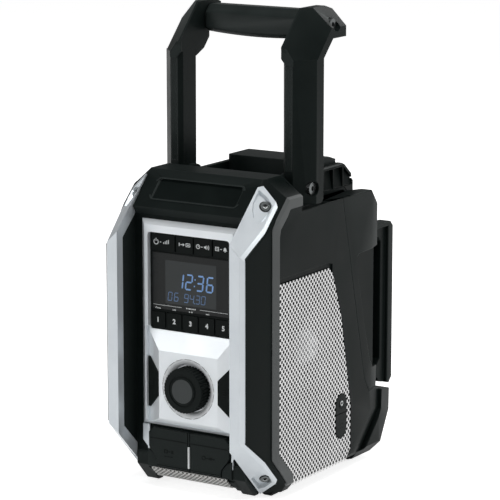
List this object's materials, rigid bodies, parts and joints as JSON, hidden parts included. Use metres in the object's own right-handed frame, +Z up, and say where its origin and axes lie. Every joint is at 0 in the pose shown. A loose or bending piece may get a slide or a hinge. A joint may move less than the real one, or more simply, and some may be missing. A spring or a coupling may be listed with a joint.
{
  "type": "jobsite radio",
  "caption": "Rugged upright jobsite radio with folding carry handle, silver corner guards, control panel with display and dial, side speaker grilles and rear battery bay.",
  "frame": {"origin": "centre of the footprint, on the surface the feet stand on", "axes": "+Z up, -Y out of the control panel, +X to the viewer's right when facing the panel"},
  "size_m": [0.164, 0.268, 0.43],
  "materials": {
    "housing_black": "moulded ABS with a fine spark-eroded grain",
    "handle_black": "moulded nylon with a fine grain",
    "soft_black": "soft elastomer, dull",
    "bumper_grey": "moulded elastomer, dull grey",
    "silver": "silver metallic paint, satin",
    "key_black": "moulded keys with plain printed numbers",
    "mesh_steel": "punched steel mesh, clear coated",
    "mesh_black": "punched steel, black coat",
    "lens": "smoked clear window",
    "display": "liquid crystal display, blue figures",
    "steel": "zinc plated",
    "dark_steel": "black oxide screws and bolts",
    "speaker_frame": "black pressed steel",
    "cone_paper": "coated paper cone with rubber surround",
    "board_green": "glass-fibre board with solder mask",
    "terminal": "moulded holder with brass contacts"
  },
  "bodies": {
    "case": {"main_housing": "housing_black", "rear_housing": "housing_black", "top_deck": "housing_black", "top_pad": "soft_black", "corner_bar_left": "silver", "corner_bar_right": "silver", "bar_screws": "dark_steel", "side_bumper_left": "bumper_grey", "side_bumper_right": "bumper_grey", "side_grille_left": "mesh_steel", "side_grille_right": "mesh_steel", "speaker_basket_left": "speaker_frame", "speaker_basket_right": "speaker_frame", "speaker_cone_left": "cone_paper", "speaker_cone_right": "cone_paper", "speaker_magnet_left": "steel", "speaker_magnet_right": "steel", "woofer_basket": "speaker_frame", "woofer_cone": "cone_paper", "woofer_magnet": "steel", "bottom_grille": "mesh_black", "front_panel": "silver", "control_bezel": "housing_black", "display_window": "lens", "lcd_module": "display", "volume_encoder": "terminal", "port_block": "terminal", "control_board": "board_green", "main_board": "board_green", "inlet_jack": "terminal", "inlet_tab": "soft_black", "battery_terminal": "terminal", "door_hinge_pin": "steel", "rear_guard_left": "handle_black", "rear_guard_right": "handle_black", "rear_screws": "dark_steel", "pivot_bolts": "dark_steel", "feet": "soft_black"},
    "handle": {"handle_leg_left": "handle_black", "handle_leg_right": "handle_black", "grip_sleeve": "soft_black", "grip_tube": "steel", "grip_bolts": "dark_steel"},
    "knob": {"volume_knob": "housing_black"},
    "door": {"battery_door": "housing_black"},
    "latch": {"door_latch": "key_black"},
    "cover_left": {"port_cover_left": "soft_black"},
    "cover_right": {"port_cover_right": "soft_black"},
    "inlet_flap": {"inlet_cover": "soft_black"},
    "power_button_body": {"power_button": "key_black"},
    "source_button_body": {"source_button": "key_black"},
    "clock_button_body": {"clock_button": "key_black"},
    "menu_button_body": {"menu_button": "key_black"},
    "preset_button_1_body": {"preset_button_1": "key_black"},
    "preset_button_2_body": {"preset_button_2": "key_black"},
    "preset_button_3_body": {"preset_button_3": "key_black"},
    "preset_button_4_body": {"preset_button_4": "key_black"},
    "preset_button_5_body": {"preset_button_5": "key_black"},
    "tune_button_left_body": {"tune_button_left": "key_black"},
    "tune_button_right_body": {"tune_button_right": "key_black"}
  },
  "joints": [
    {"name": "handle_fold", "type": "hinge", "parent": "case", "child": "handle", "pos_m": [0, -0.0243, 0.2725], "axis": [1, 0, 0], "range_deg": [-90, 0]},
    {"name": "volume_turn", "type": "hinge", "parent": "case", "child": "knob", "pos_m": [0, -0.11, 0.0973], "axis": [0, 1, 0], "continuous": true},
    {"name": "battery_door_hinge", "type": "hinge", "parent": "case", "child": "door", "pos_m": [0, 0.0964, 0.077], "axis": [1, 0, 0], "range_deg": [-95, 0]},
    {"name": "latch_slide", "type": "slide", "parent": "door", "child": "latch", "axis": [0, 0, 1], "range_m": [-0.005, 0], "stiffness_N_per_m": 250},
    {"name": "port_cover_left_hinge", "type": "hinge", "parent": "case", "child": "cover_left", "pos_m": [-0.022, -0.1073, 0.0228], "axis": [1, 0, 0], "range_deg": [0, 95]},
    {"name": "port_cover_right_hinge", "type": "hinge", "parent": "case", "child": "cover_right", "pos_m": [0.022, -0.1073, 0.0228], "axis": [1, 0, 0], "range_deg": [0, 95]},
    {"name": "inlet_cover_hinge", "type": "hinge", "parent": "case", "child": "inlet_flap", "pos_m": [0.0814, 0.0215, 0.0568], "axis": [0, 1, 0], "range_deg": [-110, 0]},
    {"name": "power_button_press", "type": "slide", "parent": "case", "child": "power_button_body", "axis": [0, 1, 0], "range_m": [0, 0.0008], "stiffness_N_per_m": 600},
    {"name": "source_button_press", "type": "slide", "parent": "case", "child": "source_button_body", "axis": [0, 1, 0], "range_m": [0, 0.0008], "stiffness_N_per_m": 600},
    {"name": "clock_button_press", "type": "slide", "parent": "case", "child": "clock_button_body", "axis": [0, 1, 0], "range_m": [0, 0.0008], "stiffness_N_per_m": 600},
    {"name": "menu_button_press", "type": "slide", "parent": "case", "child": "menu_button_body", "axis": [0, 1, 0], "range_m": [0, 0.0008], "stiffness_N_per_m": 600},
    {"name": "preset_button_1_press", "type": "slide", "parent": "case", "child": "preset_button_1_body", "axis": [0, 1, 0], "range_m": [0, 0.0008], "stiffness_N_per_m": 600},
    {"name": "preset_button_2_press", "type": "slide", "parent": "case", "child": "preset_button_2_body", "axis": [0, 1, 0], "range_m": [0, 0.0008], "stiffness_N_per_m": 600},
    {"name": "preset_button_3_press", "type": "slide", "parent": "case", "child": "preset_button_3_body", "axis": [0, 1, 0], "range_m": [0, 0.0008], "stiffness_N_per_m": 600},
    {"name": "preset_button_4_press", "type": "slide", "parent": "case", "child": "preset_button_4_body", "axis": [0, 1, 0], "range_m": [0, 0.0008], "stiffness_N_per_m": 600},
    {"name": "preset_button_5_press", "type": "slide", "parent": "case", "child": "preset_button_5_body", "axis": [0, 1, 0], "range_m": [0, 0.0008], "stiffness_N_per_m": 600},
    {"name": "tune_button_left_press", "type": "slide", "parent": "case", "child": "tune_button_left_body", "axis": [0, 1, 0], "range_m": [0, 0.0008], "stiffness_N_per_m": 600},
    {"name": "tune_button_right_press", "type": "slide", "parent": "case", "child": "tune_button_right_body", "axis": [0, 1, 0], "range_m": [0, 0.0008], "stiffness_N_per_m": 600}
  ]
}
